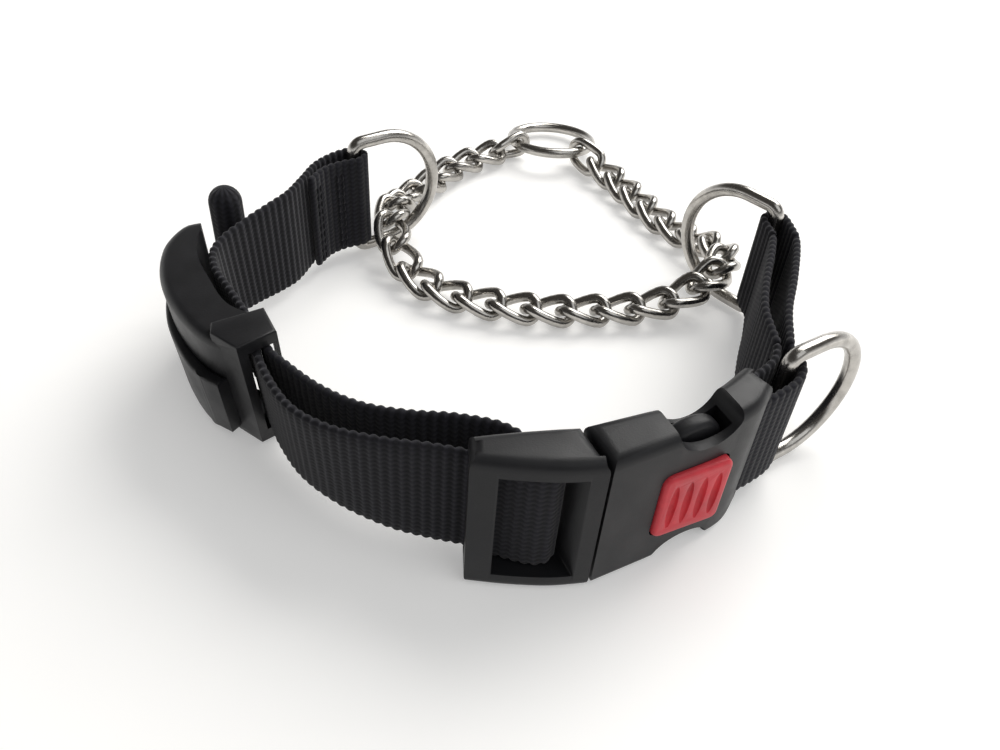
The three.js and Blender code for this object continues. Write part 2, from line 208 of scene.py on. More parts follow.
def swept_wire(points, ups, radius, sides=14, closed=True):
    """A round wire along points; `ups` keeps its section from turning on itself."""
    count = len(points)
    frames = []
    for i, (point, up) in enumerate(zip(points, ups)):
        ahead = points[(i + 1) % count] if closed or i + 1 < count else point
        behind = points[i - 1] if closed or i else point
        tangent = (ahead - behind).normalized()
        side = up.cross(tangent).normalized()
        normal = tangent.cross(side)
        frames.append(Matrix((side, normal, tangent)).transposed().to_4x4())
        frames[-1].translation = point
    bm = bmesh.new()
    first = bmesh.ops.create_circle(bm, segments=sides, radius=radius, cap_ends=False)["verts"]
    bmesh.ops.transform(bm, matrix=frames[0], verts=first)
    start_edges = list(bm.edges)
    edges = start_edges
    for before, after in zip(frames, frames[1:]):
        made = bmesh.ops.extrude_edge_only(bm, edges=edges)["geom"]
        verts = [g for g in made if isinstance(g, bmesh.types.BMVert)]
        edges = [e for e in made if isinstance(e, bmesh.types.BMEdge) and all(v in verts for v in e.verts)]
        bmesh.ops.transform(bm, matrix=after @ before.inverted(), verts=verts)
    if closed:
        bmesh.ops.bridge_loops(bm, edges=start_edges + edges)
    else:
        bmesh.ops.contextual_create(bm, geom=start_edges)
        bmesh.ops.contextual_create(bm, geom=edges)
    return bm


def prism(outline, low, high, rounded=0, segments=5, rounded_count=None):
    """A closed upright solid over an outline; the first points' edges on its flat ends are rounded."""
    bm = bmesh.new()
    base = bm.faces.new([bm.verts.new((x, y, low)) for x, y in outline])
    made = bmesh.ops.extrude_face_region(bm, geom=[base], use_keep_orig=True)["geom"]
    top = [g for g in made if isinstance(g, bmesh.types.BMVert)]
    bmesh.ops.translate(bm, vec=(0, 0, high - low), verts=top)
    bmesh.ops.recalc_face_normals(bm, faces=bm.faces)
    if rounded:
        soft = {(round(x, 3), round(y, 3)) for x, y in outline[:rounded_count]}
        edges = [
            e for e in bm.edges
            if abs((e.verts[0].co - e.verts[1].co).z) < 0.001
            and all((round(v.co.x, 3), round(v.co.y, 3)) in soft for v in e.verts)
        ]
        bmesh.ops.bevel(
            bm, geom=edges, offset=rounded, segments=segments, profile=0.5, affect="EDGES", material=-1
        )
    return bm


def block(low_corner, high_corner, rounded=0, segments=3):
    """A box between two corners, with rounded edges."""
    bm = bmesh.new()
    verts = bmesh.ops.create_cube(bm, size=1)["verts"]
    size = [h - l for l, h in zip(low_corner, high_corner)]
    middle = [(h + l) / 2 for l, h in zip(low_corner, high_corner)]
    bmesh.ops.scale(bm, vec=size, verts=verts)
    bmesh.ops.translate(bm, vec=middle, verts=verts)
    if rounded:
        bmesh.ops.bevel(
            bm, geom=list(bm.edges), offset=rounded, segments=segments, profile=0.5, affect="EDGES", material=-1
        )
    return bm


def round_bar(x, y, low, high, radius, sides=24):
    """An upright round bar."""
    bm = bmesh.new()
    bmesh.ops.create_cone(
        bm, cap_ends=True, segments=sides, radius1=radius, radius2=radius, depth=high - low,
        matrix=Matrix.Translation((x, y, (low + high) / 2)),
    )
    return bm


# ---- Node materials ----
def new_material(name):
    """An empty node material with its shader, and a short way to add nodes and links."""
    material = bpy.data.materials.new(name)
    material.use_nodes = True
    nodes = material.node_tree.nodes
    links = material.node_tree.links
    shader = nodes["Principled BSDF"]

    def add(kind, inputs=(), **settings):
        node = nodes.new(kind)
        for key, value in settings.items():
            setattr(node, key, value)
        for socket, value in dict(inputs).items():
            if isinstance(value, bpy.types.NodeSocket):
                links.new(value, node.inputs[socket])
            else:
                node.inputs[socket].default_value = value
        return node

    return material, shader, add, links


def colour_steps(add, factor, stops):
    """A colour ramp through (position, colour) stops."""
    ramp = add("ShaderNodeValToRGB", {"Fac": factor})
    elements = ramp.color_ramp.elements
    while len(elements) < len(stops):
        elements.new(0.5)
    for element, (position, colour) in zip(elements, stops):
        element.position = position
        element.color = (*colour, 1)
    return ramp.outputs["Color"]


def shade(colour, factor):
    """The colour made lighter or darker."""
    return tuple(min(c * factor, 1) for c in colour)


def webbing_material(name, colour, settings, rib_depth):
    """Woven webbing: ribs across it, fine yarns along them, with painted shade in the grooves and a painted
    highlight on the crests.
    """
    material, shader, add, links = new_material(name)
    uv = add("ShaderNodeUVMap", uv_map="webbing").outputs["UV"]
    part = add("ShaderNodeSeparateXYZ", {"Vector": uv})
    pitch = settings.rib_pitch * 1000
    phase = add("ShaderNodeMath", {0: part.outputs["X"], 1: tau / pitch}, operation="MULTIPLY")
    rib = add("ShaderNodeMath", {0: phase.outputs[0]}, operation="SINE")
    shift = add("ShaderNodeMath", {0: rib.outputs[0], 1: 1.3}, operation="MULTIPLY")
    yarn_phase = add("ShaderNodeMath", {0: part.outputs["Y"], 1: tau / (pitch * 0.62), 2: shift.outputs[0]},
                     operation="MULTIPLY_ADD")
    yarn = add("ShaderNodeMath", {0: yarn_phase.outputs[0]}, operation="SINE")
    mix = add("ShaderNodeMath", {0: yarn.outputs[0], 1: 0.45, 2: rib.outputs[0]}, operation="MULTIPLY_ADD")
    noise = add("ShaderNodeTexNoise", {"Vector": uv, "Scale": 2.4, "Detail": 4.0, "Roughness": 0.7})
    fuzz = add("ShaderNodeMath", {0: noise.outputs["Fac"], 1: 1.1, 2: mix.outputs[0]}, operation="MULTIPLY_ADD")
    height = add("ShaderNodeMapRange", {"Value": fuzz.outputs[0], "From Min": -1.2, "From Max": 2.4})
    # Painted shade and highlight: the colour follows the bump height, darker in the grooves and lighter on the rib
    # and yarn crests, with random noise.
    tone = colour_steps(add, height.outputs[0], [
        (0.0, shade(colour, 0.35)), (0.45, colour), (0.8, shade(colour, 1.7)), (1.0, shade(colour, 2.4)),
    ])
    links.new(tone, shader.inputs["Base Color"])
    bump = add("ShaderNodeBump", {"Height": height.outputs[0], "Strength": 1.0, "Distance": rib_depth * MM})
    links.new(bump.outputs["Normal"], shader.inputs["Normal"])
    shader.inputs["Roughness"].default_value = 0.82
    shader.inputs["Specular IOR Level"].default_value = 0.14
    shader.inputs["Sheen Weight"].default_value = 0.14
    shader.inputs["Sheen Roughness"].default_value = 0.5
    return material


def moulded_material(name, colour, roughness):
    """Moulded plastic: a fine grain, soft unevenness in gloss and faint handling marks."""
    material, shader, add, links = new_material(name)
    place = add("ShaderNodeTexCoord").outputs["Object"]
    grain = add("ShaderNodeTexNoise", {"Vector": place, "Scale": 3200.0, "Detail": 3.0})
    cloud = add("ShaderNodeTexNoise", {"Vector": place, "Scale": 130.0, "Detail": 5.0, "Roughness": 0.6})
    tone = colour_steps(add, cloud.outputs["Fac"], [(0.3, shade(colour, 0.82)), (0.7, shade(colour, 1.2))])
    links.new(tone, shader.inputs["Base Color"])
    gloss = add("ShaderNodeMapRange", {"Value": cloud.outputs["Fac"], "From Min": 0.3, "From Max": 0.7,
                                       "To Min": roughness - 0.06, "To Max": roughness + 0.08})
    links.new(gloss.outputs[0], shader.inputs["Roughness"])
    bump = add("ShaderNodeBump", {"Height": grain.outputs["Fac"], "Strength": 0.35, "Distance": 0.00006})
    links.new(bump.outputs["Normal"], shader.inputs["Normal"])
    shader.inputs["Specular IOR Level"].default_value = 0.28
    return material


def plated_material(name, colour, roughness):
    """Bright plated steel with faint polishing marks and duller patches."""
    material, shader, add, links = new_material(name)
    place = add("ShaderNodeTexCoord").outputs["Object"]
    cloud = add("ShaderNodeTexNoise", {"Vector": place, "Scale": 260.0, "Detail": 4.0, "Roughness": 0.65})
    marks = add("ShaderNodeTexNoise", {"Vector": place, "Scale": 2600.0, "Detail": 2.0, "Distortion": 1.5})
    tone = colour_steps(add, cloud.outputs["Fac"], [(0.32, shade(colour, 0.72)), (0.6, colour)])
    links.new(tone, shader.inputs["Base Color"])
    gloss = add("ShaderNodeMapRange", {"Value": cloud.outputs["Fac"], "From Min": 0.3, "From Max": 0.7,
                                       "To Min": roughness + 0.1, "To Max": roughness - 0.03})
    links.new(gloss.outputs[0], shader.inputs["Roughness"])
    bump = add("ShaderNodeBump", {"Height": marks.outputs["Fac"], "Strength": 0.2, "Distance": 0.00005})
    links.new(bump.outputs["Normal"], shader.inputs["Normal"])
    shader.inputs["Metallic"].default_value = 1.0
    return material


# ---- Settings ----
class CollarSettings(bpy.types.PropertyGroup):
    """Sizes and colours of the collar."""

    web_thickness: bpy.props.FloatProperty(
        name="Webbing thickness", description="Thickness of one layer of webbing", default=0.0017, unit="LENGTH"
    )
    rib_pitch: bpy.props.FloatProperty(
        name="Rib pitch", description="Distance between the webbing's cross ribs", default=0.00185, unit="LENGTH"
    )
    rib_depth: bpy.props.FloatProperty(
        name="Rib depth", description="How far each rib stands proud", default=0.00026, unit="LENGTH"
    )
    ring_wire: bpy.props.FloatProperty(
        name="Ring wire", description="Radius of the D-rings' wire", default=0.0016, unit="LENGTH"
    )
    link_wire: bpy.props.FloatProperty(
        name="Link wire", description="Radius of the chain links' wire", default=0.00125, unit="LENGTH"
    )
    leash_wire: bpy.props.FloatProperty(
        name="Leash ring wire", description="Radius of the leash ring's wire", default=0.0015, unit="LENGTH"
    )
    moulded_edge: bpy.props.FloatProperty(
        name="Moulded edge", description="Rounding along the buckle's long edges", default=0.0021, unit="LENGTH"
    )
    webbing_colour: bpy.props.FloatVectorProperty(
        name="Webbing", description="Colour of the webbing", default=(0.0130, 0.0127, 0.0160), subtype="COLOR"
    )
    plastic_colour: bpy.props.FloatVectorProperty(
        name="Plastic", description="Colour of the moulded parts", default=(0.0116, 0.0116, 0.0130), subtype="COLOR"
    )
    button_colour: bpy.props.FloatVectorProperty(
        name="Button", description="Colour of the lock button", default=(0.6867, 0.0513, 0.0685), subtype="COLOR"
    )
    steel_colour: bpy.props.FloatVectorProperty(
        name="Steel", description="Colour of the plated rings and chain", default=(0.50, 0.48, 0.45),
        subtype="COLOR",
    )


def look(kind):
    """The finish of this kind, made from the settings the first time it is asked for."""
    made = bpy.data.materials.get(kind)
    if made:
        return made
    settings = bpy.context.scene.collar
    if kind == "woven_webbing":
        return webbing_material(kind, settings.webbing_colour, settings, 0.16)
    if kind == "moulded_plastic":
        return moulded_material(kind, settings.plastic_colour, 0.42)
    if kind == "button_plastic":
        return moulded_material(kind, settings.button_colour, 0.38)
    return plated_material(kind, settings.steel_colour, 0.2)


# ---- Webbing ----
FOLD_RADIUS = 2.75  # the webbing's middle line round a bar


def ribbon(route, settings, low=WEB_LOW, high=WEB_HIGH):
    """Ribbed webbing on edge along a plan route: a flat tube with rounded edges and closed ends."""
    thick = settings.web_thickness / MM
    pitch = settings.rib_pitch / MM
    rib = settings.rib_depth / MM
    points, length = smooth_route(route, pitch / 6)
    run = np.linspace(0, length, len(points))
    tangents = np.gradient(points, axis=0)
    tangents /= np.linalg.norm(tangents, axis=1)[:, None]
    half = thick / 2
    rows = 9
    faces = [(half, low + half + (high - low - thick) * i / rows, 0) for i in range(rows + 1)]
    crown = [(half * cos(a), high - half + half * sin(a), 1) for a in np.linspace(0, pi, 6)[1:-1]]
    backs = [(-side, z, 0) for side, z, _ in reversed(faces)]
    foot = [(-half * cos(a), low + half - half * sin(a), -1) for a in np.linspace(0, pi, 6)[1:-1]]
    section = faces + crown + backs + foot
    bm = bmesh.new()
    bmesh.ops.create_grid(bm, x_segments=len(points) - 1, y_segments=len(section), size=0.5)
    places = {}
    for vert in bm.verts:
        at = (vert.co.x + 0.5) * length
        side, z, edge = section[round((vert.co.y + 0.5) * len(section)) % len(section)]
        x, y = (np.interp(at, run, points[:, i]) for i in (0, 1))
        tx, ty = (np.interp(at, run, tangents[:, i]) for i in (0, 1))
        crest = abs(sin(pi * at / pitch)) - 1
        ends = min(at, length - at, 0.5) / 0.5
        side *= (1 + rib * crest / half) * (0.82 + 0.18 * ends)
        z += edge * rib * 1.3 * crest
        vert.co = (x - ty * side, y + tx * side, z)
        places[vert] = (at, z + side)
    layer = bm.loops.layers.uv.new("webbing")
    for face in bm.faces:
        for loop in face.loops:
            loop[layer].uv = places[loop.vert]
    bmesh.ops.remove_doubles(bm, verts=bm.verts, dist=0.0005)
    bmesh.ops.holes_fill(bm, edges=[e for e in bm.edges if e.is_boundary], sides=0)
    return bm


def stitch_rows(bm, route, starts, side, z_low=WEB_LOW + 2, z_high=WEB_HIGH - 2, step=2.1):
    """Adds upright rows of thread stitches on one side of a route, at each run in `starts`."""
    points, length = smooth_route(route, 0.5)
    run = np.linspace(0, length, len(points))
    tangents = np.gradient(points, axis=0)
    tangents /= np.linalg.norm(tangents, axis=1)[:, None]
    for start in starts:
        x, y = (np.interp(start, run, points[:, i]) for i in (0, 1))
        tx, ty = (np.interp(start, run, tangents[:, i]) for i in (0, 1))
        for z in np.arange(z_low, z_high, step):
            place = Matrix.Translation((x - ty * side, y + tx * side, z))
            bmesh.ops.create_uvsphere(
                bm, u_segments=8, v_segments=5, radius=1,
                matrix=place @ Matrix.Diagonal((0.34, 0.34, step * 0.43, 1)),
            )


LEFT_MOUTH = radians(38) + pi
LEFT_ROUTE = [
    (-47.8, 178.3), (-45.7, 183.8), (-42.4, 187.3), *turn_round(LEFT_BAR, LEFT_MOUTH, FOLD_RADIUS),
    (-44.8, 191.4), (-48, 186.2), (-49.8, 178.5), (-51.6, 171.6), (-54.6, 166.2), (-58.4, 160),
    (-61.1, 154.3), (-61.5, 149.8), (-59.6, 144.6), (-55.4, 138.8), (-50.8, 132.6), (-48.2, 128.8),
]
PLUG_BAR = (-7.2, 8.2)  # the bars in the buckle's two ends, along it and towards the neck
SOCKET_BAR = (33.1, 8.9)
FRONT_ROUTE = [
    (-46.9, 123.9), (-45.1, 120.6), (-41.2, 113.8), (-35.4, 106.6), (-28, 101.9), (-18.4, 98.8),
    (-10, 97.6), (-3, 96.6), (2.8, 94.8), *turn_round(buckle_plan(*PLUG_BAR), pi * 0.97, FOLD_RADIUS),
    (5.4, 101.3), (0.8, 103.8), (-6, 104.9), (-14.9, 105.2), (-23.4, 107.2), (-31.4, 111.6),
    (-38.4, 117.2), (-43, 121.4), (-45.6, 126.4),
]
SOCKET_ROUTE = [
    (52.9, 131.4), (51.9, 127.6), (50.4, 125.3), (46.6, 121.4),
    *turn_round(buckle_plan(*SOCKET_BAR), radians(42), FOLD_RADIUS),
    (50.2, 116.9), (55.1, 121.6), (56.7, 125.8), (55.6, 131.4),
]
RIGHT_INNER = [(53, 132), (52.6, 143), (54.6, 153), (57.4, 163), (59.1, 170.4)]
RIGHT_OUTER = [(55.6, 132), (57.4, 143), (60.6, 154), (63.4, 165), (64.4, 170.4)]
RIGHT_FOLD = [(64.5, 171), *turn_round(RIGHT_BAR, radians(262), FOLD_RADIUS), (59.2, 171)]


class COLLAR_OT_webbing(bpy.types.Operator):
    """Weaves the straps that ride with the collar, with their folds and sewn ends"""

    bl_idname = "collar.webbing"
    bl_label = "Collar webbing"

    def execute(self, context):
        settings = context.scene.collar
        for name, route, node, leaning in (
            ("left_strap_woven", LEFT_ROUTE, "left_strap", True),
            ("front_strap_woven", FRONT_ROUTE, "front_strap", True),
            ("right_fold_woven", RIGHT_FOLD, "right_ring_fold", False),
        ):
            bm = ribbon(route, settings)
            if name == "left_strap_woven":
                stitch_rows(bm, route, (1.6, 3.0, 9.2, 10.6), -0.95)
            if leaning:
                lean(bm)
            finish_piece(add_object(name, bm, look("woven_webbing"), PLAN, 60), "collar", "webbing", node)
        return {"FINISHED"}


class COLLAR_OT_socket_webbing(bpy.types.Operator):
    """Weaves the loop in the socket's end and the two layers that run between it and the collar"""

    bl_idname = "collar.socket_webbing"
    bl_label = "Socket webbing"

    def execute(self, context):
        settings = context.scene.collar
        bm = ribbon(SOCKET_ROUTE, settings)
        stitch_rows(bm, SOCKET_ROUTE, (1.5, 2.9), -0.95)
        loop = add_object("socket_loop_woven", bm, look("woven_webbing"), PLAN, 60)
        finish_piece(loop, "socket", "webbing", "socket_loop")
        for name, route, node in (
            ("right_inner_woven", RIGHT_INNER, "right_strap_inner"),
            ("right_outer_woven", RIGHT_OUTER, "right_strap_outer"),
        ):
            layer = add_object(name, ribbon(route, settings), look("woven_webbing"), PLAN, 60)
            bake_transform(layer)
            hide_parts(node)
        return {"FINISHED"}


ROLL = (-62.9, 163.4)
ROLL_RADIUS = 3.6
ROLL_LOW, ROLL_HIGH = 4.4, 34


class COLLAR_OT_strap_end(bpy.types.Operator):
    """Rolls the webbing's sewn end behind the slider"""

    bl_idname = "collar.strap_end"
    bl_label = "Rolled strap end"

    def execute(self, context):
        bm = bmesh.new()
        shoulder = ROLL_HIGH - ROLL_RADIUS
        profile = [(0, ROLL_LOW), (2.8, ROLL_LOW), (3.3, ROLL_LOW + 0.4)]
        profile += [(ROLL_RADIUS, z) for z in np.linspace(ROLL_LOW + 1, shoulder, 12)]
        profile += [
            (ROLL_RADIUS * cos(a), shoulder + ROLL_RADIUS * sin(a)) for a in np.linspace(0, pi / 2, 9)[1:]
        ]
        verts = [bm.verts.new((ROLL[0] + r, ROLL[1], z)) for r, z in profile]
        edges = [bm.edges.new(pair) for pair in zip(verts, verts[1:])]
        bmesh.ops.spin(
            bm, geom=verts + edges, cent=(*ROLL, 0), axis=(0, 0, 1), dvec=(0, 0, 0), angle=tau, steps=48,
            use_merge=True, use_normal_flip=False, use_duplicate=False,
        )
        bmesh.ops.remove_doubles(bm, verts=bm.verts, dist=0.001)
        layer = bm.loops.layers.uv.new("webbing")
        for face in bm.faces:
            middle = face.calc_center_median() - Vector((*ROLL, 0))
            for loop in face.loops:
                arm = loop.vert.co - Vector((*ROLL, 0))
                turn = np.arctan2(arm.y, arm.x) if arm.xy.length > 0.01 else np.arctan2(middle.y, middle.x)
                if middle.y < 0 and turn > 3 or middle.y > 0 and turn < -3:
                    turn = -turn
                loop[layer].uv = (turn * ROLL_RADIUS, arm.z)
        roll = add_object("strap_end_rolled", bm, look("woven_webbing"), PLAN, 60)
        finish_piece(roll, "collar", "webbing", "strap_end_roll")
        return {"FINISHED"}


# ---- Rings and chain ----
D_HALF = 14.6  # half the D-ring's height, to the middle of its wire
D_ARM = 8.0  # straight part of its arms
D_CORNER = 2.4
D_SEAM = 0.4  # the wire's ends meet in the straight bar


def d_ring_path():
    """The D-ring's middle line in its own upright plane, from one side of its seam to the other."""
    upper = [(0, D_SEAM / 2), *((0, z) for z in np.linspace(2, D_HALF - D_CORNER, 5))]
    for a in np.linspace(0, pi / 2, 7)[1:]:
        upper.append((D_CORNER * (1 - cos(a)), D_HALF - D_CORNER + D_CORNER * sin(a)))
    upper += [(x, D_HALF) for x in np.linspace(D_CORNER, D_ARM, 4)[1:]]
    upper += [(D_ARM + D_HALF * sin(a), D_HALF * cos(a)) for a in np.linspace(0, pi / 2, 15)[1:]]
    return upper + [(x, -z) for x, z in reversed(upper[:-1])]


class COLLAR_OT_d_rings(bpy.types.Operator):
    """Bends the three D-rings from round wire"""

    bl_idname = "collar.d_rings"
    bl_label = "D-rings"

    def execute(self, context):
        wire = context.scene.collar.ring_wire / MM
        for name, bar, heading, body, node in (
            ("left_ring_wire", LEFT_BAR, radians(38), "left_ring", "left_d_ring"),
            ("right_ring_wire", RIGHT_BAR, radians(136), "right_ring", "right_d_ring"),
            ("identity_ring_wire", IDENTITY_BAR, radians(36), "id_ring", "id_d_ring"),
        ):
            out = Vector((cos(heading), sin(heading), 0))
            points = [Vector((*bar, MID_HIGH)) + out * x + UP * z for x, z in d_ring_path()]
            bm = swept_wire(points, [out.cross(UP)] * len(points), wire, sides=20, closed=False)
            finish_piece(add_object(name, bm, look("plated_steel"), PLAN, 60), body, "steel", node)
        return {"FINISHED"}


LEASH = Vector((10.2, 255.5, 4.6))
LEASH_RADIUS = 12.4
LEASH_TILT = 0.15


class COLLAR_OT_leash_ring(bpy.types.Operator):
    """Bends the round ring that takes the leash"""

    bl_idname = "collar.leash_ring"
    bl_label = "Leash ring"

    def execute(self, context):
        bm = bmesh.new()
        section = bmesh.ops.create_circle(
            bm, segments=20, radius=context.scene.collar.leash_wire / MM,
            matrix=Matrix.Translation((LEASH_RADIUS, 0, 0)) @ Matrix.Rotation(pi / 2, 4, "X"),
        )["verts"]
        bmesh.ops.spin(
            bm, geom=section + list(bm.edges), cent=(0, 0, 0), axis=(0, 0, 1), dvec=(0, 0, 0), angle=tau,
            steps=80, use_merge=True, use_normal_flip=False, use_duplicate=False,
        )
        bmesh.ops.remove_doubles(bm, verts=bm.verts, dist=0.001)
        place = PLAN @ Matrix.Translation(LEASH) @ Matrix.Rotation(-LEASH_TILT, 4, "X")
        ring = add_object("leash_ring_wire", bm, look("plated_steel"), place, 180)
        finish_piece(ring, "leash_ring", "steel", "leash_ring")
        return {"FINISHED"}


LINK_RING = 3.55  # middle-line radius of a link's round ends
LINK_PITCH = 8.7
LINK_SLACK = 0.7
LINK_TWIST = pi / 4
CHAIN_LOW = 3.6  # middle of the chain where it lies on the ground
CHAIN_OVER = 9  # and where it runs over a D-ring's lower arm


def leash_hold(angle):
    """Where an end link holds the leash ring, round the ring's middle."""
    inside = LEASH_RADIUS - 1.5 - LINK_SLACK / 3
    away = inside * sin(angle)
    return (LEASH.x + inside * cos(angle), LEASH.y + away * cos(LEASH_TILT), LEASH.z - away * sin(LEASH_TILT))


CHAIN_ROUTE = [
    leash_hold(pi + 0.5), (-9, 244.5, CHAIN_LOW), (-18, 236, CHAIN_LOW), (-25, 224, CHAIN_LOW),
    (-30.3, 212, 5), (-32.3, 201, CHAIN_OVER), (-30.8, 190, CHAIN_OVER - 1), (-26.5, 181.5, 4.6),
    (-18, 173.8, CHAIN_LOW), (-7, 170, CHAIN_LOW), (10, 168.6, CHAIN_LOW), (28, 171.4, CHAIN_LOW),
    (38, 173.2, 4.6), (46, 176.8, CHAIN_OVER - 1.6), (52.6, 183, CHAIN_OVER),
    (55.8, 190.8, CHAIN_OVER - 0.6), (53.4, 200, 6), (46, 208.5, CHAIN_LOW), (37.5, 221, CHAIN_LOW),
    (29, 236, CHAIN_LOW), leash_hold(-0.75),
]


def chain_pivots():
    """Places where link meets link: one straight pitch apart along the chain's route."""
    fine, length = smooth_route(CHAIN_ROUTE, 0.06)
    count = round(length / LINK_PITCH)
    short, long, best = 0.8 * length / count, length / count, []
    for _ in range(24):
        pitch = (short + long) / 2
        pivots = [fine[0]]
        for point in fine:
            if len(pivots) <= count and np.linalg.norm(point - pivots[-1]) >= pitch:
                pivots.append(point)
        if len(pivots) > count:
            best, short = pivots, pitch
        else:
            long = pitch
    return [Vector(p) for p in best[:count + 1]]


def twisted_link(pitch, first_roll, last_roll, wire):
    """One oval link along X, twisted about X from one end to the other."""
    stretch = (pitch + LINK_SLACK) / 2 + wire - LINK_RING
    half = stretch + LINK_RING
    points, ups = [], []
    for i in range(44):
        turn = tau * (i + 0.5) / 44
        x = LINK_RING * cos(turn) + stretch * min(max(LINK_RING * cos(turn), -1), 1)
        share = min(max((x / half + 1) / 2, 0), 1)
        roll = Matrix.Rotation(first_roll + (last_roll - first_roll) * share, 3, "X")
        points.append(roll @ Vector((x, LINK_RING * sin(turn), 0)))
        ups.append(roll @ UP)
    return swept_wire(points, ups, wire, sides=14)


BODY_OF_LINK = {
    **{n: "chain_front_left" for n in range(11, 15)}, **{n: "chain_front_right" for n in range(15, 19)},
}


class COLLAR_OT_chain(bpy.types.Operator):
    """Lays the twisted-link chain through the D-rings and the leash ring"""

    bl_idname = "collar.chain"
    bl_label = "Chain"

    def execute(self, context):
        wire = context.scene.collar.link_wire / MM
        pivots = chain_pivots()
        links = len(pivots) - 1
        for number, (start, end) in enumerate(zip(pivots, pivots[1:]), 1):
            along = end - start
            first = pi / 2 if number == 1 else -LINK_TWIST
            last = -pi / 2 if number == links else LINK_TWIST
            turned = Matrix.Rotation(np.arctan2(along.y, along.x), 4, "Z") @ Matrix.Rotation(
                -np.arcsin(along.z / along.length), 4, "Y"
            )
            place = PLAN @ Matrix.Translation((start + end) / 2) @ turned
            bm = twisted_link(along.length, first, last, wire)
            link = add_object(f"link_{number:02d}", bm, look("plated_steel"), place, 180)
            finish_piece(link, BODY_OF_LINK.get(number, "collar"), "steel", f"chain_link_{number:02d}")
        return {"FINISHED"}


# ---- Buckle ----
def along_curve(corners, spacing=0.7):
    """Outline points on a smooth curve through corners."""
    return [tuple(p) for p in smooth_route(corners, spacing)[0]]


def rounded_rectangle(left, right, low, high, radius):
    """Outline of a rectangle with rounded corners."""
    corners = ((right, high), (left, high), (left, low), (right, low))
    points = []
    for quarter, (x, y) in enumerate(corners):
        middle = (x - radius if x == right else x + radius, y - radius if y == high else y + radius)
        for a in np.linspace(quarter * pi / 2, (quarter + 1) * pi / 2, 7):
            points.append((middle[0] + radius * cos(a), middle[1] + radius * sin(a)))
    return points


def thick_line(route, wide):
    """Outline of a band with parallel sides along a route."""
    points, _ = smooth_route(route, 0.8)
    tangents = np.gradient(points, axis=0)
    tangents /= np.linalg.norm(tangents, axis=1)[:, None]
    normals = np.column_stack([-tangents[:, 1], tangents[:, 0]]) * wide / 2
    return [tuple(p) for p in points - normals] + [tuple(p) for p in reversed(points + normals)]


PLUG_OUTLINE = [
    *along_curve([(-20.7, 9.2), (-14, 5.4), (-7, 2.1), (-GAP, 0)]), (-GAP, 10),
    *along_curve([(-4, 11.2), (-11, 13.2), (-18.4, 15)]),
]
PLUG_POCKET = [
    (-16.6, 5.5), (-3.2, -1), (-3.2, 13.5), (-11, 16.5), (-20.6, 18), (-20.6, 12.6), (-16.6, 10.8),
]
PRONG_OUTLINE = [
    (0.3, 21.5), (0.3, 26.5), (12, 26.6),
    *along_curve([(14.2, 28.4), (16.2, 29.9), (19.6, 30.7), (22.8, 30), (24.8, 28), (25.3, 25)]),
    (25.1, 23), (13, 22.4),
]
PRONG_LOW, PRONG_HIGH = 3.75, 7.3
SOCKET_OUTLINE = [
    (GAP, 0), *along_curve([(12, 0.5), (24, 1.2), (31, 2.6), (36.4, 6)]),
    *along_curve([(34.9, 12.6), (26.6, 9.7), (20, 8.8), (10, 9.4)]), (GAP, 10),
]
SOCKET_SLOT = [(29.6, 5.2), (38.5, 5.2), (38.5, 14.5), (33, 14.5), (27.8, 12.6)]
WAIST_MIDDLE, WAIST_HALF, WAIST_DEEP = 20.2, 6.8, 5


def upright(bm, mirror_about=None):
    """Turns a solid drawn along the buckle and up so that its thickness runs towards the neck."""
    for vert in bm.verts:
        s, z, w = vert.co
        vert.co = (s, w, z if mirror_about is None else mirror_about - z)
    bmesh.ops.recalc_face_normals(bm, faces=bm.faces)
    return bm


def waist_cutter(upper):
    """The scooped cut where the buckle's side is squeezed."""
    edge, inward = (BUCKLE_HIGH, -1) if upper else (0, 1)
    outline = [(WAIST_MIDDLE - WAIST_HALF, edge - inward * 2)]
    for a in np.linspace(pi, 0, 25):
        outline.append((WAIST_MIDDLE + WAIST_HALF * cos(a), edge + inward * WAIST_DEEP * sin(a)))
    outline.append((WAIST_MIDDLE + WAIST_HALF, edge - inward * 2))
    return upright(prism(outline, -2, 12))


class COLLAR_OT_plug(bpy.types.Operator):
    """Moulds the buckle's plug: its body with the webbing bar, the guide and the two spring prongs"""

    bl_idname = "collar.plug"
    bl_label = "Buckle plug"

    def execute(self, context):
        edge = context.scene.collar.moulded_edge / MM
        bar = round_bar(*PLUG_BAR, RAIL_LOW - 1, RAIL_HIGH + 1, 1.6)
        body = shaped(
            prism(PLUG_OUTLINE, 0, BUCKLE_HIGH, edge), cutters=[prism(PLUG_POCKET, RAIL_LOW, RAIL_HIGH)],
            bars=[bar],
        )
        plug = add_object("plug_moulded", body, look("moulded_plastic"), BUCKLE)
        finish_piece(plug, "collar", "plastic", "plug_body")
        for name, mirror, node in (
            ("prong_upper_moulded", None, "plug_prong_upper"),
            ("prong_lower_moulded", BUCKLE_HIGH, "plug_prong_lower"),
        ):
            prong = upright(prism(PRONG_OUTLINE, PRONG_LOW, PRONG_HIGH), mirror)
            made = add_object(name, shaped(prong, softness=1.3, segments=5), look("moulded_plastic"), BUCKLE)
            finish_piece(made, node, "plastic", node)
        guide = add_object(
            "guide_moulded", block((GAP, 4.1, 14.2), (17, 6.4, 18.8), 0.5), look("moulded_plastic"), BUCKLE
        )
        finish_piece(guide, "collar", "plastic", "plug_guide")
        return {"FINISHED"}


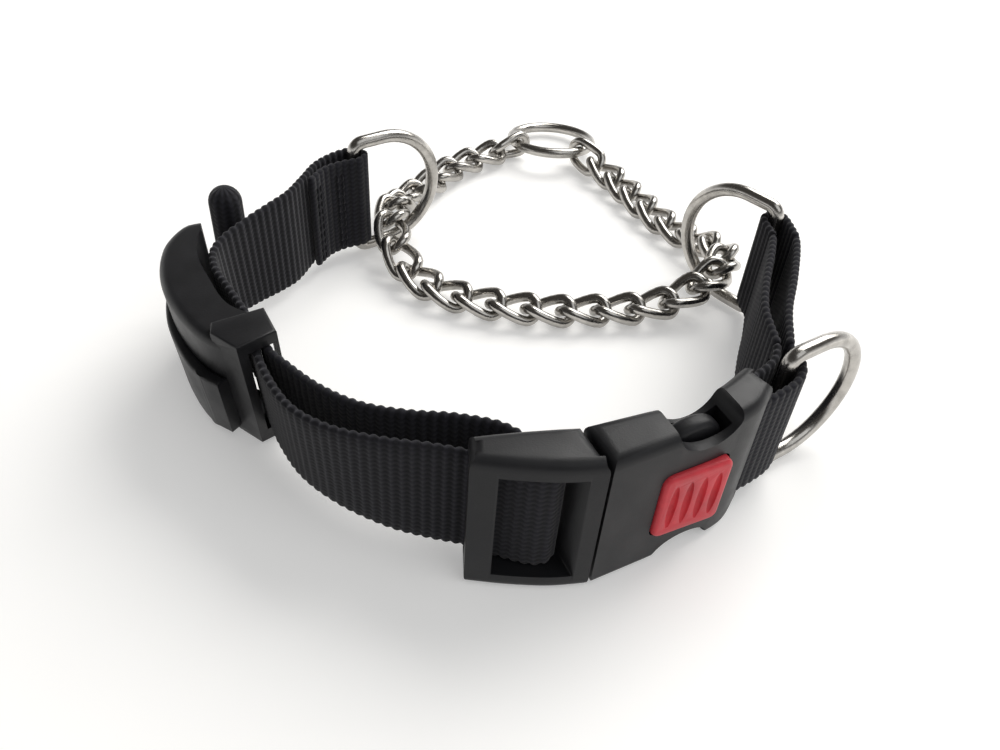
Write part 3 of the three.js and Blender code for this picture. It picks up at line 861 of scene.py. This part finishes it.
class COLLAR_OT_socket(bpy.types.Operator):
    """Moulds the buckle's socket shell with its waist, button hole and webbing bar"""

    bl_idname = "collar.socket"
    bl_label = "Buckle socket"

    def execute(self, context):
        edge = context.scene.collar.moulded_edge / MM
        cutters = [
            block((-1, 2.9, 3), (26.2, 7.8, 30)),
            upright(prism(rounded_rectangle(11.4, 26.2, 8, 24.4, 2), -2, 4)),
            waist_cutter(True), waist_cutter(False), prism(SOCKET_SLOT, RAIL_LOW, RAIL_HIGH),
        ]
        bar = round_bar(*SOCKET_BAR, RAIL_LOW - 1, RAIL_HIGH + 1, 1.6)
        body = shaped(prism(SOCKET_OUTLINE, 0, BUCKLE_HIGH, edge), cutters=cutters, bars=[bar])
        socket = add_object("socket_moulded", body, look("moulded_plastic"), BUCKLE)
        finish_piece(socket, "socket", "plastic", "socket_body")
        return {"FINISHED"}


class COLLAR_OT_button(bpy.types.Operator):
    """Moulds the lock button with its four finger grooves"""

    bl_idname = "collar.button"
    bl_label = "Lock button"

    def execute(self, context):
        grooves = []
        for s in (14.2, 17.2, 20.2, 23.2):
            groove = bmesh.new()
            bmesh.ops.create_uvsphere(
                groove, u_segments=24, v_segments=16, radius=1,
                matrix=Matrix.Translation((s + 0.1, -0.5, 16.2)) @ Matrix.Diagonal((0.95, 1.15, 5.6, 1)),
            )
            grooves.append(groove)
        pad = upright(prism(rounded_rectangle(11.7, 25.9, 8.3, 24.1, 1.8), -0.4, 2.5, 0.8, 4))
        body = shaped(pad, cutters=grooves, softness=0.15, segments=2)
        button = add_object("button_moulded", body, look("button_plastic"), BUCKLE)
        finish_piece(button, "button", "button", "lock_button")
        return {"FINISHED"}


SHELL_OUTER = along_curve([(-66.2, 157.5), (-69, 155.9), (-70.9, 149.5), (-68.6, 139), (-62.6, 129), (-54.4, 121),
                           (-48.4, 118.6)], 1.3)
SHELL_INNER = along_curve([(-46, 127.9), (-52.6, 130.9), (-58.4, 138.4), (-63.1, 146), (-64.7, 151.4),
                           (-65, 154.6)], 1.3)
SHELL_HIGH = 31
FLANGE_ROUTE = [(-67.6, 153.4), (-69.9, 146), (-67.6, 137), (-62.6, 128.2), (-56.4, 120.9), (-52, 118.4)]
BLOCK_OUTLINE = [(-53.4, 123.6), (-52.6, 120.6), (-46.9, 117.1), (-41.2, 122.8), (-45.2, 129.3)]
SLIDER_HIGH = 32.6
SLIDER_SLOT = [(-54, 138.6), (-50.3, 132.6), (-47.4, 127.8), (-45, 123.4), (-43.8, 120.8), (-40.4, 114)]


class COLLAR_OT_slider(bpy.types.Operator):
    """Moulds the arched length slider with its webbing slot"""

    bl_idname = "collar.slider"
    bl_label = "Length slider"

    def execute(self, context):
        edge = context.scene.collar.moulded_edge / MM
        slot = prism(thick_line(SLIDER_SLOT, 5.4), RAIL_LOW, RAIL_HIGH)
        shell = prism(SHELL_OUTER + SHELL_INNER, 0, SHELL_HIGH, edge, 6, len(SHELL_OUTER))
        flange = prism(thick_line(FLANGE_ROUTE, 2.6), 2.6, 20, 0.8, 3)
        body = shaped(shell, joined=[flange, prism(BLOCK_OUTLINE, 0, SLIDER_HIGH, 0.5, 3)], cutters=[slot])
        slider = add_object("slider_moulded", lean(body), look("moulded_plastic"), PLAN)
        finish_piece(slider, "slider", "plastic", "length_slider")
        return {"FINISHED"}


# ---- Camera, light and floor ----
CAMERA_PITCH = radians(42.1)
CAMERA_ROLL = radians(-4.6)
CAMERA_HIGH = 133.6
CAMERA_LENS = 31.36  # on a 36 mm sensor


class COLLAR_OT_camera(bpy.types.Operator):
    """Sets the camera that looks down on the collar from its buckle side"""

    bl_idname = "collar.camera"
    bl_label = "Camera"

    def execute(self, context):
        forward = Vector((0, cos(CAMERA_PITCH), -sin(CAMERA_PITCH)))
        level_down = Vector((0, -sin(CAMERA_PITCH), -cos(CAMERA_PITCH)))
        right = Vector((cos(CAMERA_ROLL), 0, 0)) + level_down * sin(CAMERA_ROLL)
        down = level_down * cos(CAMERA_ROLL) - Vector((sin(CAMERA_ROLL), 0, 0))
        data = bpy.data.cameras.new("collar_camera")
        data.lens = CAMERA_LENS
        data.sensor_width = 36
        data.clip_start = 0.01
        camera = bpy.data.objects.new("collar_camera", data)
        context.scene.collection.objects.link(camera)
        place = Matrix((right, -down, -forward)).transposed().to_4x4()
        place.translation = plan(0, 0, CAMERA_HIGH)
        camera.matrix_world = place
        context.scene.camera = camera
        return {"FINISHED"}


def seen_directly(add):
    """1 for camera, glossy and transmission rays, which see the pale backdrop; in the world, glossy rays also see a
    painted dark reflection overhead.
    """
    path = add("ShaderNodeLightPath")
    seen = add("ShaderNodeMath", {0: path.outputs["Is Camera Ray"], 1: path.outputs["Is Glossy Ray"]},
               operation="MAXIMUM")
    return add("ShaderNodeMath", {0: seen.outputs[0], 1: path.outputs["Is Transmission Ray"]},
               operation="MAXIMUM").outputs[0]


class COLLAR_OT_stage(bpy.types.Operator):
    """Lays the pale floor and hangs the soft lights"""

    bl_idname = "collar.stage"
    bl_label = "Floor and lights"

    def execute(self, context):
        bm = bmesh.new()
        bmesh.ops.create_grid(bm, x_segments=1, y_segments=1, size=3)
        mesh = bpy.data.meshes.new("floor")
        bm.to_mesh(mesh)
        bm.free()
        floor = bpy.data.objects.new("floor", mesh)
        context.scene.collection.objects.link(floor)
        material, shader, add, links = new_material("floor")
        shader.inputs["Base Color"].default_value = (0.8, 0.79, 0.77, 1)
        shader.inputs["Roughness"].default_value = 0.9
        shader.inputs["Specular IOR Level"].default_value = 0.1
        place = add("ShaderNodeTexCoord").outputs["Object"]
        away = add("ShaderNodeVectorMath", {0: place}, operation="LENGTH").outputs["Value"]
        glow = add("ShaderNodeMapRange", {"Value": away, "From Min": 0.2, "From Max": 0.7,
                                          "To Min": 0.3, "To Max": 1.0})
        lift = add("ShaderNodeMath", {0: seen_directly(add), 1: glow.outputs[0]}, operation="MULTIPLY")
        shader.inputs["Emission Color"].default_value = (1, 1, 1, 1)
        links.new(lift.outputs[0], shader.inputs["Emission Strength"])
        mesh.materials.append(material)

        for name, place, size, watts, colour in (
            ("back_light", (0.45, 0.62, 0.8), 0.8, 12, (1, 0.99, 0.97)),
            ("front_light", (0.55, -0.45, 0.9), 0.9, 2.6, (0.96, 0.98, 1)),
        ):
            data = bpy.data.lights.new(name, "AREA")
            data.size = size
            data.energy = watts
            data.color = colour
            light = bpy.data.objects.new(name, data)
            context.scene.collection.objects.link(light)
            light.location = place
            light.rotation_euler = (-Vector(place)).to_track_quat("-Z", "Y").to_euler()

        world = bpy.data.worlds.new("studio")
        world.use_nodes = True
        nodes, links = world.node_tree.nodes, world.node_tree.links
        ambient = nodes["Background"]
        ambient.inputs["Color"].default_value = (1, 1, 1, 1)
        ambient.inputs["Strength"].default_value = 0.33
        bright = nodes.new("ShaderNodeBackground")
        bright.inputs["Color"].default_value = (1, 1, 1, 1)
        mix = nodes.new("ShaderNodeMixShader")

        def add(kind, inputs=(), **settings):
            node = nodes.new(kind)
            for key, value in settings.items():
                setattr(node, key, value)
            for socket, value in dict(inputs).items():
                links.new(value, node.inputs[socket])
            return node

        # Painted reflection: glossy rays alone see a dark sky overhead and white towards the horizon.
        direction = add("ShaderNodeTexCoord").outputs["Generated"]
        height = add("ShaderNodeSeparateXYZ", {0: direction}).outputs["Z"]
        ramp = add("ShaderNodeValToRGB", {"Fac": height})
        painted_reflection_stops = ramp.color_ramp.elements
        path = add("ShaderNodeLightPath")
        painted_reflection_stops[0].position, painted_reflection_stops[0].color = 0.12, (1, 1, 1, 1)
        painted_reflection_stops[1].position, painted_reflection_stops[1].color = 0.4, (0.07, 0.065, 0.06, 1)
        tone = nodes.new("ShaderNodeMix")
        tone.data_type = "RGBA"
        links.new(path.outputs["Is Glossy Ray"], tone.inputs["Factor"])
        tone.inputs[6].default_value = (1, 1, 1, 1)
        links.new(ramp.outputs["Color"], tone.inputs[7])
        links.new(tone.outputs[2], bright.inputs["Color"])
        links.new(seen_directly(add), mix.inputs[0])
        links.new(ambient.outputs[0], mix.inputs[1])
        links.new(bright.outputs[0], mix.inputs[2])
        links.new(mix.outputs[0], nodes["World Output"].inputs["Surface"])
        context.scene.world = world
        context.scene.view_settings.view_transform = "Standard"
        return {"FINISHED"}


OPERATORS = (
    COLLAR_OT_camera, COLLAR_OT_webbing, COLLAR_OT_socket_webbing, COLLAR_OT_strap_end, COLLAR_OT_d_rings,
    COLLAR_OT_leash_ring, COLLAR_OT_chain, COLLAR_OT_plug, COLLAR_OT_socket, COLLAR_OT_button,
    COLLAR_OT_slider, COLLAR_OT_stage,
)


class COLLAR_PT_panel(bpy.types.Panel):
    """Lists the collar's settings and the steps that build it"""

    bl_idname = "COLLAR_PT_panel"
    bl_label = "Martingale Collar"
    bl_space_type = "VIEW_3D"
    bl_region_type = "UI"
    bl_category = "Collar"

    def draw(self, context):
        for name in CollarSettings.__annotations__:
            self.layout.prop(context.scene.collar, name)
        for operator in OPERATORS:
            self.layout.operator(operator.bl_idname)


CLASSES = (CollarSettings, *OPERATORS, COLLAR_PT_panel)


def register():
    for cls in CLASSES:
        bpy.utils.register_class(cls)
    bpy.types.Scene.collar = bpy.props.PointerProperty(type=CollarSettings)


def unregister():
    del bpy.types.Scene.collar
    for cls in reversed(CLASSES):
        bpy.utils.unregister_class(cls)


def main():
    """Builds every piece in order."""
    register()
    for operator in OPERATORS:
        family, name = operator.bl_idname.split(".")
        getattr(getattr(bpy.ops, family), name)()


if __name__ == "__main__":
    main()
